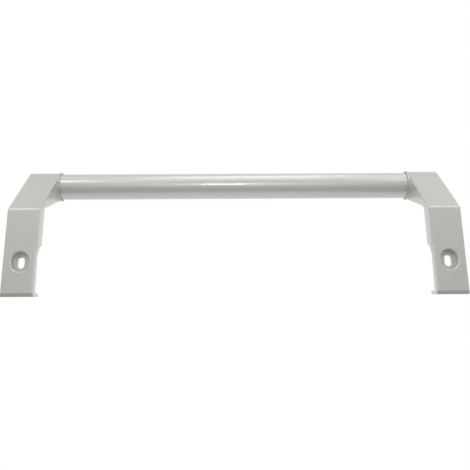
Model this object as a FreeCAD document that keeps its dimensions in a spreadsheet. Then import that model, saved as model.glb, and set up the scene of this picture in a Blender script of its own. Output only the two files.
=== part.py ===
"""Door handle for a refrigerator: a round bar carried by two moulded brackets.

Frame: X along the bar, Z up from the legs to the bar, Y away from the viewer, in millimetres.
The origin is midway between the two fixing screws, on the plane where the legs lie on the door.
"""

import FreeCAD, Part
import enum
import math
import os
import Sketcher

Vector = FreeCAD.Vector

DIMENSIONS = [
    ("screw_spacing", 287.5, "centre distance of the two fixing screws"),
    ("leg_width", 22.5, "width of each leg and its arm along the bar"),
    ("seat_depth", 5.2, "front of the leg to the plane that lies on the door"),
    ("foot_length", 23.55, "screw centre down to the lowest corner of the leg"),
    ("foot_chamfer_height", 2.15, "height of the chamfer along the leg's front bottom edge"),
    ("foot_chamfer_depth", 1.6, "depth of the chamfer along the leg's front bottom edge"),
    ("foot_rise", 2.1, "how far the underside rises from its lowest corner to the lip's tip"),
    ("lip_reach", 7.7, "how far the end lip hooks behind the door's folded edge"),
    ("lip_thickness", 1.8, "thickness of the end lip at its tip"),
    ("step_height", 13.0, "screw centre up to the step that meets the door's front"),
    ("step_rise", 4.6, "how far the upper leg stands behind the seat plane"),
    ("fold_height", 37.3, "screw centre up to the front fold between leg and arm"),
    ("crook_rise", 2.9, "front fold up to the inner corner behind it"),
    ("bar_offset", 41.6, "bar axis behind the seat plane"),
    ("bar_height", 70.1, "bar axis above the screw centre"),
    ("arm_end_radius", 10.5, "round end of the arm, concentric with the bar"),
    ("side_set_in", 1.1, "how far the inner side steps in below the arm's part of the leg"),
    ("foot_set_in", 0.75, "what is left of that set-in at the foot"),
    ("set_in_height", 11.2, "screw centre up to where the inner side starts to step in"),
    ("set_in_blend", 5.5, "height over which the inner side steps in"),
    ("set_in_radius", 8.0, "rounding at both ends of that blend"),
    ("side_allowance", 1.5, "extra width of the blank on the side that is cut to its line"),
    ("fold_radius", 2.0, "rounding of the front fold"),
    ("crook_radius", 4.0, "inner rounding between leg and arm"),
    ("step_radius", 2.4, "inner rounding below the step"),
    ("edge_radius", 0.9, "rounding of the side edges"),
    ("front_wall", 2.4, "thickness of the leg's front plate"),
    ("side_wall", 2.4, "thickness of the leg's side walls and of the step's wall"),
    ("rib_thickness", 1.8, "thickness of the rib between the step and the arm"),
    ("slot_width", 4.6, "width of the screw slot"),
    ("slot_travel", 3.3, "how far the screw can slide in its slot"),
    ("recess_width", 11.4, "width of the screw head's recess inside its chamfer"),
    ("recess_travel", 2.3, "how much longer than wide the recess is"),
    ("recess_depth", 3.8, "depth of the screw head's recess"),
    ("recess_draft", 6.0, "draft of the recess wall in degrees"),
    ("recess_chamfer", 0.6, "chamfer along the recess's rim"),
    ("pad_margin", 1.8, "wall between the recess and the hollows above and below it"),
    ("bar_diameter", 19.5, "outside diameter of the bar"),
    ("bar_wall", 1.2, "wall of the tube that makes the bar"),
    ("bar_end_gap", 0.15, "clearance between the bar's end and the arm"),
    ("bar_chamfer", 0.3, "chamfer on the bar's ends"),
    ("collar_gap", 0.3, "radial clearance between the bar and its collar"),
    ("collar_wall", 1.0, "radial thickness of the collar"),
    ("collar_width", 1.3, "how far the collar reaches over the bar"),
    ("spigot_length", 26.0, "length of the spigot inside the bar"),
    ("spigot_gap", 0.4, "radial clearance between spigot and bar"),
    ("spigot_wall", 2.2, "wall of the hollow spigot"),
    ("crush_rib_count", 6, "crush ribs round the spigot"),
    ("crush_rib_width", 1.2, "width of a crush rib"),
    ("crush_rib_gap", 0.05, "radial clearance left between a crush rib and the bar"),
    ("spigot_chamfer", 1.0, "lead-in chamfer of the spigot"),
    ("core_floor", 2.6, "wall left between the spigot's bore and the arm's outer side"),
]

TOLERANCE = 1e-6

document = FreeCAD.newDocument("door_handle")


def fill_sheet():
    """Write the driving dimensions to the document's spreadsheet."""
    sheet = document.addObject("Spreadsheet::Sheet", "dims")
    for row, (alias, value, note) in enumerate(DIMENSIONS, start=1):
        sheet.set(f"A{row}", alias)
        sheet.set(f"B{row}", str(value))
        sheet.set(f"C{row}", note)
        sheet.setAlias(f"B{row}", alias)
    document.recompute()
    return sheet


dims = fill_sheet()


def value_of(formula):
    """The present value in millimetres of a formula over the sheet."""
    result = dims.evalExpression(formula)
    return float(getattr(result, "Value", result))


def plane_of(body, role):
    """The origin plane of a body that has this role."""
    return next(item for item in body.Origin.OriginFeatures if item.Role == role)


def new_sketch(body, name, role, offset=("0", "0", "0")):
    """A sketch on an origin plane of its body, with its own origin moved by three formulas."""
    sketch = body.newObject("Sketcher::SketchObject", name)
    sketch.AttachmentSupport = [(plane_of(body, role), "")]
    sketch.MapMode = "FlatFace"
    for axis, formula in zip("xyz", offset):
        sketch.setExpression(f"AttachmentOffset.Base.{axis}", formula)
    return sketch


def bind(sketch, constraint, formula):
    """Add a dimension to the sketch and tie it to a formula over the sheet."""
    index = sketch.addConstraint(Sketcher.Constraint(*constraint, value_of(formula)))
    sketch.setExpression(f"Constraints[{index}]", formula)


class Point(enum.IntEnum):
    """The points of a line or an arc, in the order in which a sketch numbers them."""

    START = enum.auto()
    END = enum.auto()
    CENTRE = enum.auto()


ORIGIN = (-1, Point.START)


def pin(sketch, geometry, position, across, up):
    """Place one point of the sketch by its two coordinates."""
    bind(sketch, ("DistanceX", *ORIGIN, geometry, position), across)
    bind(sketch, ("DistanceY", *ORIGIN, geometry, position), up)


def tangent_from(point, centre, radius, turn):
    """Where a line from a point touches a circle that it keeps on its right (1) or left (-1)."""
    reach = centre - point
    swing = turn * math.degrees(math.asin(radius / reach.Length))
    direction = FreeCAD.Rotation(Vector(0, 0, 1), swing).multVec(reach).normalize()
    return point + direction * math.sqrt(reach.Length**2 - radius**2)


def straight_sides(places, radii, round_end):
    """The start and end of each side of a clockwise outline, before its corners are rounded."""
    sides = []
    for here, start in enumerate(places):
        after = (here + 1) % len(places)
        end = places[after]
        if round_end[here]:
            start = tangent_from(places[after], places[here], radii[here], -1)
        if round_end[after]:
            end = tangent_from(places[here], places[after], radii[after], 1)
        sides.append([start, end])
    return sides


def draw_outline(sketch, corners):
    """A closed outline, clockwise, from corners of (across, up, radius, kind).

    A corner of kind "corner" is a point where two lines meet, rounded when it has a radius.
    One of kind "centre" is the middle of a round end that the lines on both sides touch.
    """
    places = [Vector(value_of(across), value_of(up), 0) for across, up, *_ in corners]
    radii = [value_of(radius) if radius else 0.0 for _, _, radius, _ in corners]
    round_end = [kind == "centre" for *_, kind in corners]
    sides = straight_sides(places, radii, round_end)

    crowns = list(places)
    directions = [(end - start).normalize() for start, end in sides]
    for here, place in enumerate(places):
        arriving, leaving = directions[here - 1], directions[here]
        outward = (arriving - leaving).normalize()
        if round_end[here]:
            crowns[here] = place + outward * radii[here]
        elif radii[here]:
            half_opening = (arriving * -1).getAngle(leaving) / 2
            setback = radii[here] / math.tan(half_opening)
            sides[here - 1][1] = place - arriving * setback
            sides[here][0] = place + leaving * setback
            crowns[here] = place - outward * radii[here] * (1 / math.sin(half_opening) - 1)

    lines = [sketch.addGeometry(Part.LineSegment(start, end), False) for start, end in sides]
    for here, (across, up, radius, kind) in enumerate(corners):
        before, after = lines[here - 1], lines[here]
        if not radius:
            sketch.addConstraint(Sketcher.Constraint("Coincident", before, Point.END, after, Point.START))
            pin(sketch, after, Point.START, across, up)
            continue
        arc_start, arc_end = sides[here - 1][1], sides[here][0]
        arc = sketch.addGeometry(Part.Arc(arc_start, crowns[here], arc_end), False)
        clockwise = (crowns[here] - arc_start).cross(arc_end - crowns[here]).z < 0
        first_end, last_end = (Point.END, Point.START) if clockwise else (Point.START, Point.END)
        sketch.addConstraint(Sketcher.Constraint("Tangent", before, Point.END, arc, first_end))
        sketch.addConstraint(Sketcher.Constraint("Tangent", after, Point.START, arc, last_end))
        bind(sketch, ("Radius", arc), radius)
        if kind == "centre":
            pin(sketch, arc, Point.CENTRE, across, up)
            continue
        corner = sketch.addGeometry(Part.Point(places[here]), True)
        pin(sketch, corner, Point.START, across, up)
        for line in (before, after):
            sketch.addConstraint(Sketcher.Constraint("PointOnObject", corner, Point.START, line))


def draw_circle(sketch, radius):
    """A circle about the sketch's origin."""
    circle = sketch.addGeometry(Part.Circle(Vector(), Vector(0, 0, 1), value_of(radius)), False)
    sketch.addConstraint(Sketcher.Constraint("Coincident", circle, Point.CENTRE, *ORIGIN))
    bind(sketch, ("Radius", circle), radius)


def draw_obround(sketch, width, travel):
    """An upright obround about the sketch's origin: two half circles and two straight sides."""
    radius = f"{width} / 2"
    reach, half = value_of(f"{travel} / 2"), value_of(radius)
    top = sketch.addGeometry(
        Part.Arc(Vector(half, reach, 0), Vector(0, reach + half, 0), Vector(-half, reach, 0)), False
    )
    bottom = sketch.addGeometry(
        Part.Arc(Vector(-half, -reach, 0), Vector(0, -reach - half, 0), Vector(half, -reach, 0)), False
    )
    left = sketch.addGeometry(Part.LineSegment(Vector(-half, reach, 0), Vector(-half, -reach, 0)), False)
    right = sketch.addGeometry(Part.LineSegment(Vector(half, -reach, 0), Vector(half, reach, 0)), False)
    for before, after in ((top, left), (left, bottom), (bottom, right), (right, top)):
        sketch.addConstraint(Sketcher.Constraint("Tangent", before, Point.END, after, Point.START))
    sketch.addConstraint(Sketcher.Constraint("Vertical", left))
    sketch.addConstraint(Sketcher.Constraint("Equal", top, bottom))
    sketch.addConstraint(Sketcher.Constraint("Vertical", *ORIGIN, top, Point.CENTRE))
    bind(sketch, ("Radius", top), radius)
    bind(sketch, ("DistanceY", *ORIGIN, top, Point.CENTRE), f"{travel} / 2")
    bind(sketch, ("DistanceY", *ORIGIN, bottom, Point.CENTRE), f"-{travel} / 2")


def add_feature(body, kind, name, sketch, **settings):
    """A sketch-based feature; a setting given as text is a formula over the sheet."""
    feature = body.newObject(f"PartDesign::{kind}", name)
    feature.Profile = sketch
    for key, setting in settings.items():
        if isinstance(setting, str) and "dims." in setting:
            feature.setExpression(key, setting)
        else:
            setattr(feature, key, setting)
    document.recompute()
    return feature


def must_cut(body, feature, before):
    """Raise when a feature took nothing away."""
    if body.Shape.Volume >= before - TOLERANCE:
        raise RuntimeError(f"{feature.Label} cut nothing")


def cut(body, kind, name, sketch, **settings):
    """A feature that takes material away, tested to have done so."""
    before = body.Shape.Volume
    feature = add_feature(body, kind, name, sketch, **settings)
    must_cut(body, feature, before)
    return feature


def edges_where(shape, test):
    """The names of a shape's edges that pass a test."""
    return [f"Edge{index}" for index, edge in enumerate(shape.Edges, start=1) if test(edge)]


def dress(body, kind, name, names, **settings):
    """A fillet or chamfer on the named edges of the body's present tip."""
    base = body.Tip
    feature = body.newObject(f"PartDesign::{kind}", name)
    feature.Base = (base, names)
    for key, formula in settings.items():
        feature.setExpression(key, formula)
    body.Tip = feature
    document.recompute()
    return feature


SEAT_TO_FRONT = "-dims.seat_depth"
LIP_BOTTOM = "dims.foot_rise - dims.foot_length"
LIP_TOP = f"{LIP_BOTTOM} + dims.lip_thickness"
BAR_AXIS = ("dims.bar_offset", "dims.bar_height")
COLLAR_RADIUS = "dims.bar_diameter / 2 + dims.collar_gap + dims.collar_wall"
BAR_BORE = "(dims.bar_diameter / 2 - dims.bar_wall)"
SPIGOT_RADIUS = f"{BAR_BORE} - dims.spigot_gap"
SPIGOT_BORE = f"{SPIGOT_RADIUS} - dims.spigot_wall"
HALF_WIDTH = "dims.leg_width / 2"


def draw_side_profile(body):
    """The bracket seen from the side: leg, end lip, step, crook and round arm end."""
    sketch = new_sketch(body, "side_profile", "YZ_Plane")
    chamfer_back = f"{SEAT_TO_FRONT} + dims.foot_chamfer_depth"
    chamfer_top = "dims.foot_chamfer_height - dims.foot_length"
    draw_outline(
        sketch,
        [
            (chamfer_back, "-dims.foot_length", "", "corner"),
            (SEAT_TO_FRONT, chamfer_top, "", "corner"),
            (SEAT_TO_FRONT, "dims.fold_height", "dims.fold_radius", "corner"),
            (*BAR_AXIS, "dims.arm_end_radius", "centre"),
            ("dims.step_rise", "dims.fold_height + dims.crook_rise", "dims.crook_radius", "corner"),
            ("dims.step_rise", "dims.step_height", "", "corner"),
            ("0", "dims.step_height", "dims.step_radius", "corner"),
            ("0", LIP_TOP, "", "corner"),
            ("dims.lip_reach", LIP_TOP, "", "corner"),
            ("dims.lip_reach", LIP_BOTTOM, "", "corner"),
        ],
    )
    return sketch


def draw_inner_side(body):
    """The waste beside the bracket's inner side, which steps in below the arm's part of the leg."""
    sketch = new_sketch(body, "inner_side_line", "XZ_Plane")
    top = "dims.bar_height + dims.arm_end_radius + dims.side_allowance"
    bottom = "-(dims.foot_length + dims.side_allowance)"
    outside = f"{HALF_WIDTH} + 2 * dims.side_allowance"
    draw_outline(
        sketch,
        [
            (f"{HALF_WIDTH} - dims.foot_set_in", bottom, "", "corner"),
            (
                f"{HALF_WIDTH} - dims.side_set_in",
                "dims.set_in_height - dims.set_in_blend",
                "dims.set_in_radius",
                "corner",
            ),
            (HALF_WIDTH, "dims.set_in_height", "dims.set_in_radius", "corner"),
            (HALF_WIDTH, top, "", "corner"),
            (outside, top, "", "corner"),
            (outside, bottom, "", "corner"),
        ],
    )
    return sketch


def draw_back_hollows(body):
    """The four hollows in the back of the leg, between lip, screw pad, step, rib and arm."""
    sketch = new_sketch(body, "back_hollows", "XZ_Plane")
    outer = f"-({HALF_WIDTH} - dims.side_wall)"
    inner = f"{HALF_WIDTH} - dims.side_wall"
    set_in = f"{inner} - max(dims.side_set_in; dims.foot_set_in)"
    pad_half = "(dims.recess_width + dims.recess_travel) / 2 + dims.pad_margin"
    step_wall_top = "dims.step_height + dims.side_wall"
    arm_root = "dims.fold_height - dims.front_wall / 2"
    rib_middle = f"({step_wall_top} + {arm_root}) / 2"
    hollows = [
        (LIP_TOP, f"-({pad_half})", set_in),
        (pad_half, "dims.step_height", set_in),
        (step_wall_top, f"{rib_middle} - dims.rib_thickness / 2", inner),
        (f"{rib_middle} + dims.rib_thickness / 2", arm_root, inner),
    ]
    for low, high, side in hollows:
        draw_outline(
            sketch,
            [
                (outer, low, "", "corner"),
                (outer, high, "", "corner"),
                (side, high, "", "corner"),
                (side, low, "", "corner"),
            ],
        )
    return sketch


def is_front_side_edge(edge):
    """Whether an edge is one of the upright sides of the leg's front."""
    front = value_of(SEAT_TO_FRONT)
    ends = [vertex.Point for vertex in edge.Vertexes]
    upright = abs(ends[0].z - ends[-1].z) > abs(ends[0].x - ends[-1].x)
    return upright and all(abs(end.y - front) < TOLERANCE for end in ends)


def is_recess_rim(edge):
    """Whether an edge is part of the recess's rim on the leg's front."""
    front = value_of(SEAT_TO_FRONT)
    reach = value_of("(dims.recess_width + dims.recess_travel) / 2")
    return all(
        abs(vertex.Y - front) < TOLERANCE and math.hypot(vertex.X, vertex.Z) < reach
        for vertex in edge.Vertexes
    )


def build_left_bracket():
    """The left bracket: one moulding with its leg, arm, collar and spigot."""
    body = document.addObject("PartDesign::Body", "left_bracket")
    body.Label = "left_bracket"
    body.setExpression("Placement.Base.x", "-dims.screw_spacing / 2")

    profile = draw_side_profile(body)
    add_feature(
        body,
        "Pad",
        "leg_and_arm",
        profile,
        SideType="Two sides",
        Length=f"{HALF_WIDTH} + dims.side_allowance",
        Length2=HALF_WIDTH,
    )
    side_line = draw_inner_side(body)
    cut(
        body,
        "Pocket",
        "inner_side",
        side_line,
        SideType="Symmetric",
        Length="2 * (dims.bar_offset + dims.arm_end_radius + dims.seat_depth)",
    )
    front_edges = edges_where(body.Tip.Shape, is_front_side_edge)
    dress(body, "Fillet", "side_edges", front_edges, Radius="dims.edge_radius")

    hollows = draw_back_hollows(body)
    cut(
        body,
        "Pocket",
        "hollow_back",
        hollows,
        SideType="Two sides",
        Length="dims.step_rise + dims.lip_reach",
        Length2="dims.seat_depth - dims.front_wall",
    )

    slot = new_sketch(body, "slot_outline", "XZ_Plane")
    draw_obround(slot, "dims.slot_width", "dims.slot_travel")
    cut(body, "Pocket", "screw_slot", slot, Length="2 * dims.seat_depth", SideType="Symmetric")

    recess = new_sketch(body, "recess_outline", "XZ_Plane", ("0", "0", "dims.seat_depth"))
    draw_obround(recess, "dims.recess_width", "dims.recess_travel")
    cut(
        body,
        "Pocket",
        "head_recess",
        recess,
        Length="dims.recess_depth",
        TaperAngle="-dims.recess_draft",
    )
    rim = edges_where(body.Tip.Shape, is_recess_rim)
    dress(body, "Chamfer", "recess_rim", rim, Size="dims.recess_chamfer")

    inner_side = (*BAR_AXIS, HALF_WIDTH)
    collar = new_sketch(body, "collar_ring", "YZ_Plane", inner_side)
    draw_circle(collar, COLLAR_RADIUS)
    draw_circle(collar, "dims.bar_diameter / 2 + dims.collar_gap")
    add_feature(body, "Pad", "collar", collar, Length="dims.collar_width")

    spigot = new_sketch(body, "spigot_ring", "YZ_Plane", inner_side)
    draw_circle(spigot, SPIGOT_RADIUS)
    add_feature(body, "Pad", "spigot", spigot, Length="dims.spigot_length")
    end = value_of(f"{HALF_WIDTH} + dims.spigot_length")
    mouth = edges_where(body.Tip.Shape, lambda edge: abs(edge.CenterOfMass.x - end) < TOLERANCE)
    dress(body, "Chamfer", "spigot_lead_in", mouth, Size="dims.spigot_chamfer")

    rib = new_sketch(body, "crush_rib_outline", "YZ_Plane", inner_side)
    root = f"{SPIGOT_RADIUS} - dims.spigot_gap"
    crest = f"{BAR_BORE} - dims.crush_rib_gap"
    draw_outline(
        rib,
        [
            ("-dims.crush_rib_width / 2", root, "", "corner"),
            ("-dims.crush_rib_width / 2", crest, "", "corner"),
            ("dims.crush_rib_width / 2", crest, "", "corner"),
            ("dims.crush_rib_width / 2", root, "", "corner"),
        ],
    )
    first_rib = add_feature(
        body, "Pad", "crush_rib", rib, Length="dims.spigot_length - 2 * dims.spigot_chamfer"
    )
    ring = body.newObject("PartDesign::PolarPattern", "crush_ribs")
    ring.Originals = [first_rib]
    ring.Axis = (rib, ["N_Axis"])
    ring.Angle = 360
    ring.setExpression("Occurrences", "dims.crush_rib_count")
    body.Tip = ring
    document.recompute()

    bore = new_sketch(
        body,
        "core_outline",
        "YZ_Plane",
        (*BAR_AXIS, f"{HALF_WIDTH} + dims.spigot_length"),
    )
    draw_circle(bore, SPIGOT_BORE)
    cut(
        body,
        "Pocket",
        "core",
        bore,
        Length="dims.spigot_length + dims.leg_width - dims.core_floor",
    )
    return body


def build_bar():
    """The bar: a round tube between the two arms."""
    body = document.addObject("PartDesign::Body", "bar")
    body.Label = "bar"
    ring = new_sketch(body, "bar_ring", "YZ_Plane", (*BAR_AXIS, "0"))
    draw_circle(ring, "dims.bar_diameter / 2")
    draw_circle(ring, BAR_BORE)
    length = "dims.screw_spacing - dims.leg_width - 2 * dims.bar_end_gap"
    add_feature(body, "Pad", "tube", ring, Length=length, SideType="Symmetric")
    outer = value_of("dims.bar_diameter / 2")
    ends = edges_where(
        body.Tip.Shape,
        lambda edge: isinstance(edge.Curve, Part.Circle) and abs(edge.Curve.Radius - outer) < TOLERANCE,
    )
    dress(body, "Chamfer", "bar_ends", ends, Size="dims.bar_chamfer")
    return body


def mirror_bracket(source):
    """The right bracket: the left one mirrored about the middle of the handle."""
    mirror = document.addObject("Part::Mirroring", "right_bracket")
    mirror.Label = "right_bracket"
    mirror.Source = source
    mirror.Normal = (1, 0, 0)
    document.recompute()
    return mirror


def check_document(parts):
    """Raise when an object of the document failed or a part isn't one valid solid."""
    for item in document.Objects:
        if {"Invalid", "Error"} & set(item.State):
            raise RuntimeError(f"{item.Label} failed: {item.State}")
    for part in parts:
        shape = part.Shape
        if shape.isNull() or not shape.isValid() or len(shape.Solids) != 1:
            raise RuntimeError(f"{part.Label} isn't one valid solid")


def write_parts(parts):
    """Write each part to its own STEP file."""
    os.makedirs("parts", exist_ok=True)
    for part in parts:
        part.Shape.exportStep(f"parts/{part.Label}.step")
        box = part.Shape.BoundBox
        print(f"{part.Label}: {part.Shape.Volume:.1f} mm3, x {box.XMin:.2f} to {box.XMax:.2f},", end=" ")
        print(f"y {box.YMin:.2f} to {box.YMax:.2f}, z {box.ZMin:.2f} to {box.ZMax:.2f}")


left_bracket = build_left_bracket()
right_bracket = mirror_bracket(left_bracket)
bar = build_bar()
document.recompute()
all_parts = [left_bracket, right_bracket, bar]
check_document(all_parts)
write_parts(all_parts)
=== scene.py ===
import math

import bpy
from mathutils import Matrix, Vector


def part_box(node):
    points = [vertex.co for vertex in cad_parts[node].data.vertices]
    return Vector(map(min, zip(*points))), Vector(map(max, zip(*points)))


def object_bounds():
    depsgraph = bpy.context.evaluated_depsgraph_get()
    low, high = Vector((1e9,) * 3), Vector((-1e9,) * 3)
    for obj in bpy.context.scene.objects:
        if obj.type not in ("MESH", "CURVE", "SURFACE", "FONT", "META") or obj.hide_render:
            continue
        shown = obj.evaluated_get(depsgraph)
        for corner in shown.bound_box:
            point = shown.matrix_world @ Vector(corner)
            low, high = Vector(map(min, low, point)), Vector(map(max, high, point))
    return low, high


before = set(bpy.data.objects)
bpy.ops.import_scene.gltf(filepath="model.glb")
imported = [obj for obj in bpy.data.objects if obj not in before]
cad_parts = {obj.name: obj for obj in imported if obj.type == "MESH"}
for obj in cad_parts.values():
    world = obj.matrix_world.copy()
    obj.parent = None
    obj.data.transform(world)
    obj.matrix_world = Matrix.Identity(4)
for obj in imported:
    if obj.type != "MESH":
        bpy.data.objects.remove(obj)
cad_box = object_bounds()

bl_info = {
    "name": "Refrigerator Door Handle",
    "version": (1, 0, 0),
    "blender": (4, 5, 0),
    "location": "3D View > Sidebar > Handle",
    "description": "Paint, studio light and camera for a bar handle with two moulded brackets",
    "category": "Object",
}

MILLIMETRE = 0.001
PICTURE_SIDE = 470
SENSOR_WIDTH = 36.0
# The nearest and the furthest distance that the camera sees, in metres.
CAMERA_RANGE = (0.01, 20.0)
WHITE_STRENGTH = 1.0
WHITE_COLOUR = (1.0, 1.0, 1.0, 1.0)
# How many rays look round each point of the lacquer for a nearby edge.
EDGE_SAMPLES = 8
FLOOR_CORNERS = 96
# Up to this share of its radius the floor is whole. From there it fades out.
FLOOR_WHOLE_SHARE = 0.7
# The gloss shows the room in front of the handle and the white backdrop behind it. It passes from one
# to the other between these two values of its direction along Y.
BACKDROP_EDGE = (0.3, 0.9)
# The gloss shows the floor as it is in front of the handle and as white behind it. It passes from one
# to the other between these two places along Y, in metres from the handle's middle.
FLOOR_WHITE_EDGE = (-0.08, 0.0)

HANDLE_LOW, HANDLE_HIGH = (Vector(corner) for corner in cad_box)
HANDLE_MIDDLE = (HANDLE_LOW + HANDLE_HIGH) / 2
BAR_LOW, BAR_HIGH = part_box("bar")
BAR_MIDDLE = (BAR_LOW + BAR_HIGH) / 2


def linear(code):
    """A colour written as sRGB hex, such as "C5C8C1", as linear red, green, blue and alpha."""
    channels = [int(code[place:place + 2], 16) / 255 for place in (0, 2, 4)]
    return tuple(
        value / 12.92 if value <= 0.04045 else ((value + 0.055) / 1.055) ** 2.4 for value in channels
    ) + (1.0,)


def add_node(tree, kind, inputs=None, **settings):
    """Add a node with its settings. Each input takes a value, or the output of another node."""
    node = tree.nodes.new(kind)
    for name, value in settings.items():
        setattr(node, name, value)
    for name, value in (inputs or {}).items():
        if isinstance(value, bpy.types.NodeSocket):
            tree.links.new(value, node.inputs[name])
        else:
            node.inputs[name].default_value = value
    return node


def cells_per_metre(cell):
    """The texture scale that makes each cell of the pattern this long, in metres."""
    return 1.0 / cell


def empty_tree(owner):
    """The node tree of a material or world, with nothing in it."""
    owner.use_nodes = True
    owner.node_tree.nodes.clear()
    return owner.node_tree


def paint_settings():
    """The settings that the user sees for the paints."""
    return bpy.context.scene.handle_paint


def studio_settings():
    """The settings that the user sees for the studio."""
    return bpy.context.scene.handle_studio


def lacquer_shade(tree, place, colour, settings):
    """The lacquer's colour with the grain of its flakes and the soft clouds of spraying."""
    # Real flakes are about 0.03 mm and can't be told apart from here. They are drawn coarser, at the
    # flake size of the settings, so that the coat keeps its faint metallic grain.
    flakes = add_node(
        tree,
        "ShaderNodeTexVoronoi",
        {"Vector": place, "Scale": cells_per_metre(settings.flake_size), "Randomness": 1.0},
    )
    # A hand or robot sprays in passes, so the coat is a touch lighter or darker from place to place.
    clouds = add_node(
        tree,
        "ShaderNodeTexNoise",
        {"Vector": place, "Scale": cells_per_metre(settings.cloud_size), "Detail": 2.0},
    )
    flake_tone = add_node(
        tree,
        "ShaderNodeMapRange",
        {
            "Value": flakes.outputs["Color"],
            "To Min": 1.0 - settings.flake_contrast,
            "To Max": 1.0 + settings.flake_contrast,
        },
    )
    cloud_tone = add_node(
        tree,
        "ShaderNodeMapRange",
        {
            "Value": clouds.outputs["Fac"],
            "To Min": 1.0 - settings.cloud_contrast,
            "To Max": 1.0 + settings.cloud_contrast,
        },
    )
    tone = add_node(
        tree,
        "ShaderNodeMath",
        {0: flake_tone.outputs["Result"], 1: cloud_tone.outputs["Result"]},
        operation="MULTIPLY",
    )
    return add_node(
        tree,
        "ShaderNodeVectorMath",
        {0: colour[:3], "Scale": tone.outputs["Value"]},
        operation="SCALE",
    ).outputs["Vector"]


def lacquer_relief(tree, place, peel_height, settings):
    """The lacquer's surface: rounded at the edges and with low waves everywhere."""
    # Wet lacquer doesn't level fully before it sets. Its low waves make the edge of a highlight waver.
    peel = add_node(
        tree,
        "ShaderNodeTexNoise",
        {"Vector": place, "Scale": cells_per_metre(settings.peel_size), "Detail": 1.0},
    )
    # Wet lacquer also draws back from a sharp edge and rounds it, so that the eye sees a thin soft
    # line of light along every edge.
    rounded = add_node(tree, "ShaderNodeBevel", {"Radius": settings.edge_radius}, samples=EDGE_SAMPLES)
    return add_node(
        tree,
        "ShaderNodeBump",
        {
            "Height": peel.outputs["Fac"],
            "Strength": 1.0,
            "Distance": peel_height,
            "Normal": rounded.outputs["Normal"],
        },
    ).outputs["Normal"]


def silver_lacquer(name, colour, peel_height, coat, settings):
    """Silver-grey lacquer with fine aluminium flakes, sprayed on and stoved."""
    material = bpy.data.materials.new(name)
    tree = empty_tree(material)
    place = add_node(tree, "ShaderNodeTexCoord").outputs["Object"]
    relief = lacquer_relief(tree, place, peel_height, settings)
    # The flakes lie nearly flat and scatter light broadly; the resin over them stays smooth. The eye
    # sees a wide satin sheen with a narrower, sharper highlight of each lamp on top of it.
    surface = add_node(
        tree,
        "ShaderNodeBsdfPrincipled",
        {
            "Base Color": lacquer_shade(tree, place, colour, settings),
            "Metallic": settings.metallic,
            "Roughness": settings.roughness,
            "Coat Weight": coat,
            "Coat Roughness": settings.coat_roughness,
            "Normal": relief,
            "Coat Normal": relief,
        },
    )
    add_node(tree, "ShaderNodeOutputMaterial", {"Surface": surface.outputs["BSDF"]})
    return material


def dress(node_name, material):
    """Give a piece of the frame its finish."""
    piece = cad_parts[node_name]
    piece.data.materials.clear()
    piece.data.materials.append(material)


class HandlePaint(bpy.types.PropertyGroup):
    """Colours and grain of the lacquer."""

    bar_colour: bpy.props.FloatVectorProperty(
        name="Bar", description="Colour of the lacquer on the tube",
        default=linear("C5C8C1"), min=0.0, max=1.0, size=4, subtype="COLOR",
    )
    bracket_colour: bpy.props.FloatVectorProperty(
        name="Brackets", description="Colour of the lacquer on the mouldings",
        default=linear("BFC2BA"), min=0.0, max=1.0, size=4, subtype="COLOR",
    )
    flake_size: bpy.props.FloatProperty(
        name="Flake size", description="Distance between the aluminium flakes as drawn",
        default=0.35 * MILLIMETRE, min=0.05 * MILLIMETRE, unit="LENGTH", precision=5,
    )
    flake_contrast: bpy.props.FloatProperty(
        name="Flake contrast", description="How far a flake is lighter or darker than the lacquer",
        default=0.03, min=0.0, max=0.5, subtype="FACTOR",
    )
    cloud_size: bpy.props.FloatProperty(
        name="Cloud size", description="Size of the lighter and darker places that spraying leaves",
        default=14.0 * MILLIMETRE, min=1.0 * MILLIMETRE, unit="LENGTH", precision=4,
    )
    cloud_contrast: bpy.props.FloatProperty(
        name="Cloud contrast", description="How far the coat is lighter or darker from place to place",
        default=0.02, min=0.0, max=0.5, subtype="FACTOR",
    )
    peel_size: bpy.props.FloatProperty(
        name="Orange peel size", description="Length of the waves in the lacquer",
        default=2.0 * MILLIMETRE, min=0.2 * MILLIMETRE, unit="LENGTH", precision=4,
    )
    bar_peel: bpy.props.FloatProperty(
        name="Peel on the bar", description="Height of the waves on the tube",
        default=0.001 * MILLIMETRE, min=0.0, unit="LENGTH", precision=6,
    )
    bracket_peel: bpy.props.FloatProperty(
        name="Peel on the brackets", description="Height of the waves on the mouldings",
        default=0.003 * MILLIMETRE, min=0.0, unit="LENGTH", precision=6,
    )
    edge_radius: bpy.props.FloatProperty(
        name="Edge radius", description="Radius that the lacquer gives a sharp edge",
        default=0.6 * MILLIMETRE, min=0.0, unit="LENGTH", precision=4,
    )
    metallic: bpy.props.FloatProperty(
        name="Metallic", description="Share of aluminium flake in the lacquer",
        default=0.45, min=0.0, max=1.0, subtype="FACTOR",
    )
    roughness: bpy.props.FloatProperty(
        name="Roughness", description="Roughness of the flake layer",
        default=0.42, min=0.0, max=1.0, subtype="FACTOR",
    )
    bar_coat: bpy.props.FloatProperty(
        name="Clear skin on the bar", description="Strength of the smooth skin over the tube's flakes",
        default=1.0, min=0.0, max=1.0, subtype="FACTOR",
    )
    bracket_coat: bpy.props.FloatProperty(
        name="Clear skin on the brackets", description="Strength of the skin over the mouldings' flakes",
        default=0.8, min=0.0, max=1.0, subtype="FACTOR",
    )
    coat_roughness: bpy.props.FloatProperty(
        name="Clear skin roughness", description="Roughness of the smooth skin",
        default=0.12, min=0.0, max=1.0, subtype="FACTOR",
    )


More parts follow.
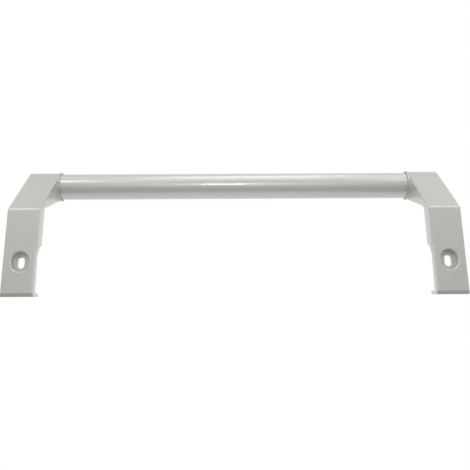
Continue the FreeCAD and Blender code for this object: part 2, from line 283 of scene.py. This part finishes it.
class HandleStudio(bpy.types.PropertyGroup):
    """Floor, light and camera."""

    floor_colour: bpy.props.FloatVectorProperty(
        name="Floor", description="Colour of the floor",
        default=linear("F2F2F0"), min=0.0, max=1.0, size=4, subtype="COLOR",
    )
    floor_drop: bpy.props.FloatProperty(
        name="Floor below the origin", description="How far the floor lies below the fixing screws",
        default=0.19, min=0.02, unit="LENGTH",
    )
    floor_radius: bpy.props.FloatProperty(
        name="Floor radius", description="Where the floor has faded into the backdrop",
        default=0.5, min=0.1, unit="LENGTH",
    )
    floor_back: bpy.props.FloatProperty(
        name="Floor behind the handle", description="How far the floor's middle lies behind the handle",
        default=0.33, min=0.0, unit="LENGTH",
    )
    light_right: bpy.props.FloatProperty(
        name="From the right", description="Strength of the room light from the right",
        default=0.95, min=0.0,
    )
    light_back: bpy.props.FloatProperty(
        name="From behind", description="Strength of the room light from behind",
        default=1.2, min=0.0,
    )
    light_above: bpy.props.FloatProperty(
        name="From above", description="Strength of the room light from above",
        default=0.58, min=0.0,
    )
    light_left: bpy.props.FloatProperty(
        name="From the left", description="Strength of the room light from the left",
        default=0.9, min=0.0,
    )
    light_front: bpy.props.FloatProperty(
        name="From the front", description="Strength of the room light from the front",
        default=0.47, min=0.0,
    )
    light_below: bpy.props.FloatProperty(
        name="From below", description="Strength of the room light from below",
        default=0.12, min=0.0,
    )
    overhead_power: bpy.props.FloatProperty(
        name="Overhead light", description="Power of the long softbox above",
        default=0.56, min=0.0, unit="POWER",
    )
    upper_front_power: bpy.props.FloatProperty(
        name="Upper front light", description="Power of the softbox in front and above",
        default=0.37, min=0.0, unit="POWER",
    )
    front_power: bpy.props.FloatProperty(
        name="Front light", description="Power of the small lamp in front",
        default=0.66, min=0.0, unit="POWER",
    )
    upper_left_power: bpy.props.FloatProperty(
        name="Upper left light", description="Power of the small softbox at the upper left",
        default=0.5, min=0.0, unit="POWER",
    )
    overhead_left_power: bpy.props.FloatProperty(
        name="Overhead left light", description="Power of the softbox above the left bracket",
        default=0.35, min=0.0, unit="POWER",
    )
    overhead_right_power: bpy.props.FloatProperty(
        name="Overhead right light", description="Power of the softbox above the right bracket",
        default=0.35, min=0.0, unit="POWER",
    )
    left_power: bpy.props.FloatProperty(
        name="Left fill", description="Power of the small lamp near the left bracket",
        default=0.07, min=0.0, unit="POWER",
    )
    right_power: bpy.props.FloatProperty(
        name="Right fill", description="Power of the softbox near the right bracket",
        default=0.22, min=0.0, unit="POWER",
    )
    camera_distance: bpy.props.FloatProperty(
        name="Camera distance", description="From the camera to the point it is aimed at",
        default=0.4504, min=0.05, unit="LENGTH",
    )
    camera_aim: bpy.props.FloatVectorProperty(
        name="Camera aim", description="The point that the camera is aimed at",
        default=(0.0001, 0.0048, 0.0232), subtype="TRANSLATION",
    )
    camera_tilt: bpy.props.FloatProperty(
        name="Camera tilt", description="How far the camera looks up",
        default=math.radians(16.5), subtype="ANGLE",
    )
    camera_turn: bpy.props.FloatProperty(
        name="Camera turn", description="How far the camera looks to the right",
        default=math.radians(0.54), subtype="ANGLE",
    )
    camera_roll: bpy.props.FloatProperty(
        name="Camera roll", description="How far the camera leans to the left",
        default=math.radians(-0.47), subtype="ANGLE",
    )
    focal_pixels: bpy.props.FloatProperty(
        name="Focal length in pixels", description="Focal length for a picture 470 pixels wide",
        default=650.0, min=50.0,
    )
    lift_pixels: bpy.props.FloatProperty(
        name="Lift in pixels", description="How far the picture is shifted up for its framing",
        default=3.7,
    )


class HANDLE_OT_paint_bar(bpy.types.Operator):
    """Finish the bar: sprayed lacquer on drawn aluminium tube"""

    bl_idname = "handle.paint_bar"
    bl_label = "Paint bar"

    def execute(self, context):
        settings = paint_settings()
        # Drawing leaves the tube straight and even, so the lacquer lies almost level on it. The eye
        # sees long, clean lines of light that run the whole length of the bar.
        material = silver_lacquer(
            "sprayed_lacquer_on_drawn_aluminium",
            settings.bar_colour,
            settings.bar_peel,
            settings.bar_coat,
            settings,
        )
        dress("bar", material)
        return {"FINISHED"}


class HANDLE_OT_paint_brackets(bpy.types.Operator):
    """Finish both brackets: sprayed lacquer on moulded ABS"""

    bl_idname = "handle.paint_brackets"
    bl_label = "Paint brackets"

    def execute(self, context):
        settings = paint_settings()
        # A moulding's faces are flat and its edges rounded, and the plastic below is a little darker.
        # The eye sees plain, even faces with a thin bright line where the light catches the fold.
        material = silver_lacquer(
            "sprayed_lacquer_on_moulded_abs",
            settings.bracket_colour,
            settings.bracket_peel,
            settings.bracket_coat,
            settings,
        )
        for node_name in ("left_bracket", "right_bracket"):
            dress(node_name, material)
        return {"FINISHED"}


def white_backdrop_share(tree, depth, edge):
    """How far a reflection shows the white backdrop: not at all in front, wholly behind the edge."""
    ray = add_node(tree, "ShaderNodeLightPath").outputs
    mirrored = add_node(
        tree,
        "ShaderNodeMath",
        {0: ray["Is Glossy Ray"], 1: ray["Is Transmission Ray"]},
        operation="MAXIMUM",
    )
    behind = add_node(
        tree,
        "ShaderNodeMapRange",
        {"Value": depth, "From Min": edge[0], "From Max": edge[1]},
        interpolation_type="SMOOTHSTEP",
    )
    return add_node(
        tree,
        "ShaderNodeMath",
        {0: mirrored.outputs["Value"], 1: behind.outputs["Result"]},
        operation="MULTIPLY",
    ).outputs["Value"]


def white_painted_board(settings):
    """Matt white paint rolled on board, which fades out towards the floor's rim."""
    # The eye sees an even pale surface without any gloss, on which only the handle's soft shadow shows.
    material = bpy.data.materials.new("white_painted_board")
    tree = empty_tree(material)
    place = add_node(tree, "ShaderNodeTexCoord").outputs["Object"]
    board = add_node(tree, "ShaderNodeBsdfDiffuse", {"Color": settings.floor_colour})
    backdrop = add_node(tree, "ShaderNodeEmission", {"Color": WHITE_COLOUR, "Strength": WHITE_STRENGTH})
    along = add_node(tree, "ShaderNodeSeparateXYZ", {"Vector": place})
    white_edge = [start - settings.floor_back for start in FLOOR_WHITE_EDGE]
    shown = add_node(
        tree,
        "ShaderNodeMixShader",
        {
            "Fac": white_backdrop_share(tree, along.outputs["Y"], white_edge),
            1: board.outputs["BSDF"],
            2: backdrop.outputs["Emission"],
        },
    )
    # The floor is open past its rim, and all of it is open when seen from below.
    away = add_node(tree, "ShaderNodeVectorMath", {0: place}, operation="LENGTH")
    fade = add_node(
        tree,
        "ShaderNodeMapRange",
        {
            "Value": away.outputs["Value"],
            "From Min": settings.floor_radius * FLOOR_WHOLE_SHARE,
            "From Max": settings.floor_radius,
        },
        interpolation_type="SMOOTHSTEP",
    )
    underside = add_node(tree, "ShaderNodeNewGeometry").outputs["Backfacing"]
    open_share = add_node(
        tree, "ShaderNodeMath", {0: fade.outputs["Result"], 1: underside}, operation="MAXIMUM"
    )
    opening = add_node(tree, "ShaderNodeBsdfTransparent")
    surface = add_node(
        tree,
        "ShaderNodeMixShader",
        {"Fac": open_share.outputs["Value"], 1: shown.outputs["Shader"], 2: opening.outputs["BSDF"]},
    )
    add_node(tree, "ShaderNodeOutputMaterial", {"Surface": surface.outputs["Shader"]})
    return material


def studio_floor(settings):
    """A round floor that fades into the white backdrop and takes the handle's shadow."""
    turns = [corner * math.tau / FLOOR_CORNERS for corner in range(FLOOR_CORNERS)]
    radius = settings.floor_radius
    rim = [(radius * math.cos(turn), radius * math.sin(turn), 0.0) for turn in turns]
    mesh = bpy.data.meshes.new("floor")
    mesh.from_pydata(rim, [], [tuple(range(FLOOR_CORNERS))])
    mesh.materials.append(white_painted_board(settings))
    floor = bpy.data.objects.new("floor", mesh)
    floor.location = (HANDLE_MIDDLE.x, HANDLE_MIDDLE.y + settings.floor_back, -settings.floor_drop)
    bpy.context.scene.collection.objects.link(floor)


def light_from(tree, direction, sign, strengths):
    """Room light from the three sides along +X, +Y and +Z, or with a sign of -1 from the other three."""
    turned = add_node(tree, "ShaderNodeVectorMath", {0: direction, "Scale": sign}, operation="SCALE")
    facing = add_node(
        tree,
        "ShaderNodeVectorMath",
        {0: turned.outputs["Vector"], 1: (0.0, 0.0, 0.0)},
        operation="MAXIMUM",
    ).outputs["Vector"]
    # Each side is brightest straight ahead and falls off with the square of the cosine.
    share = add_node(tree, "ShaderNodeVectorMath", {0: facing, 1: facing}, operation="MULTIPLY")
    return add_node(
        tree,
        "ShaderNodeVectorMath",
        {0: share.outputs["Vector"], 1: strengths},
        operation="DOT_PRODUCT",
    ).outputs["Value"]


def studio_world(settings):
    """Soft light from the six sides of the room, each fading into the next; the camera sees white."""
    world = bpy.data.worlds.new("studio")
    bpy.context.scene.world = world
    tree = empty_tree(world)
    direction = add_node(tree, "ShaderNodeTexCoord").outputs["Generated"]
    right_back_above = light_from(
        tree, direction, 1.0, (settings.light_right, settings.light_back, settings.light_above)
    )
    left_front_below = light_from(
        tree, direction, -1.0, (settings.light_left, settings.light_front, settings.light_below)
    )
    room = add_node(
        tree, "ShaderNodeMath", {0: right_back_above, 1: left_front_below}, operation="ADD"
    )
    along = add_node(tree, "ShaderNodeSeparateXYZ", {"Vector": direction})
    white_share = white_backdrop_share(tree, along.outputs["Y"], BACKDROP_EDGE)
    reflected = add_node(
        tree, "ShaderNodeMix", {"Factor": white_share, "A": room.outputs["Value"], "B": WHITE_STRENGTH}
    )
    ray = add_node(tree, "ShaderNodeLightPath").outputs
    strength = add_node(
        tree,
        "ShaderNodeMix",
        {"Factor": ray["Is Camera Ray"], "A": reflected.outputs["Result"], "B": WHITE_STRENGTH},
    )
    light = add_node(
        tree, "ShaderNodeBackground", {"Color": WHITE_COLOUR, "Strength": strength.outputs["Result"]}
    )
    add_node(tree, "ShaderNodeOutputWorld", {"Surface": light.outputs["Background"]})


def add_lamp(name, place, aim, size, power):
    """A rectangular softbox at a place, facing the point it is aimed at."""
    data = bpy.data.lights.new(name, "AREA")
    data.shape = "RECTANGLE"
    data.size, data.size_y = size
    data.energy = power
    lamp = bpy.data.objects.new(name, data)
    lamp.location = place
    lamp.rotation_mode = "QUATERNION"
    lamp.rotation_quaternion = (aim - place).to_track_quat("-Z", "Y")
    lamp.visible_camera = False
    bpy.context.scene.collection.objects.link(lamp)


def studio_lamps(settings):
    """Eight softboxes and lamps, each placed from the bar's middle and aimed at it."""
    for name, offset, size, power in (
        ("overhead_softbox", (0.06, -0.16, 0.75), (0.38, 0.15), settings.overhead_power),
        ("upper_front_softbox", (0.0, -0.3, 0.45), (0.3, 0.3), settings.upper_front_power),
        ("front_lamp", (-0.01, -0.8, 0.0), (0.1, 0.05), settings.front_power),
        ("upper_left_softbox", (-0.34, -0.62, 0.4), (0.13, 0.11), settings.upper_left_power),
        ("overhead_left_softbox", (-0.43, -0.16, 0.75), (0.18, 0.15), settings.overhead_left_power),
        ("overhead_right_softbox", (0.43, -0.16, 0.75), (0.18, 0.15), settings.overhead_right_power),
        ("left_fill", (-0.28, -0.25, 0.15), (0.1, 0.1), settings.left_power),
        ("right_fill", (0.28, -0.25, 0.2), (0.25, 0.25), settings.right_power),
    ):
        add_lamp(name, BAR_MIDDLE + Vector(offset), BAR_MIDDLE, size, power)


def studio_camera(settings):
    """The camera at the photograph's place: below the handle, looking up."""
    tilt, turn, roll = settings.camera_tilt, settings.camera_turn, settings.camera_roll
    ahead = Vector((math.sin(turn) * math.cos(tilt), math.cos(turn) * math.cos(tilt), math.sin(tilt)))
    level = ahead.cross(Vector((0, 0, 1))).normalized()
    upright = level.cross(ahead)
    right = level * math.cos(roll) + upright * math.sin(roll)
    above = upright * math.cos(roll) - level * math.sin(roll)

    data = bpy.data.cameras.new("camera")
    data.sensor_width = SENSOR_WIDTH
    data.lens = settings.focal_pixels * SENSOR_WIDTH / PICTURE_SIDE
    data.shift_y = -settings.lift_pixels / PICTURE_SIDE
    data.clip_start, data.clip_end = CAMERA_RANGE
    camera = bpy.data.objects.new("camera", data)
    turned = Matrix((right, above, -ahead)).transposed().to_4x4()
    place = Vector(settings.camera_aim) - ahead * settings.camera_distance
    camera.matrix_world = Matrix.Translation(place) @ turned
    bpy.context.scene.collection.objects.link(camera)
    bpy.context.scene.camera = camera


class HANDLE_OT_studio(bpy.types.Operator):
    """Set up the floor, the room light, the lamps and the camera"""

    bl_idname = "handle.studio"
    bl_label = "Set up studio"

    def execute(self, context):
        settings = studio_settings()
        context.scene.view_settings.view_transform = "Standard"
        studio_floor(settings)
        studio_world(settings)
        studio_lamps(settings)
        studio_camera(settings)
        return {"FINISHED"}


class HANDLE_PT_sidebar(bpy.types.Panel):
    """The handle's sizes, colours and steps in the sidebar."""

    bl_idname = "HANDLE_PT_sidebar"
    bl_label = "Door handle"
    bl_space_type = "VIEW_3D"
    bl_region_type = "UI"
    bl_category = "Handle"

    def draw(self, context):
        layout = self.layout
        for group in (paint_settings(), studio_settings()):
            column = layout.column(align=True)
            for name in group.__annotations__:
                column.prop(group, name)
        for operator in OPERATORS:
            layout.operator(operator.bl_idname)


OPERATORS = (HANDLE_OT_paint_bar, HANDLE_OT_paint_brackets, HANDLE_OT_studio)
CLASSES = (HandlePaint, HandleStudio, *OPERATORS, HANDLE_PT_sidebar)


def register():
    """Register the classes and hang the settings on the scene."""
    for item in CLASSES:
        bpy.utils.register_class(item)
    bpy.types.Scene.handle_paint = bpy.props.PointerProperty(type=HandlePaint)
    bpy.types.Scene.handle_studio = bpy.props.PointerProperty(type=HandleStudio)


def unregister():
    """Take the settings and the classes away again."""
    del bpy.types.Scene.handle_studio
    del bpy.types.Scene.handle_paint
    for item in reversed(CLASSES):
        bpy.utils.unregister_class(item)


def main():
    """Run every step in order."""
    register()
    bpy.ops.handle.paint_bar()
    bpy.ops.handle.paint_brackets()
    bpy.ops.handle.studio()


if __name__ == "__main__":
    main()
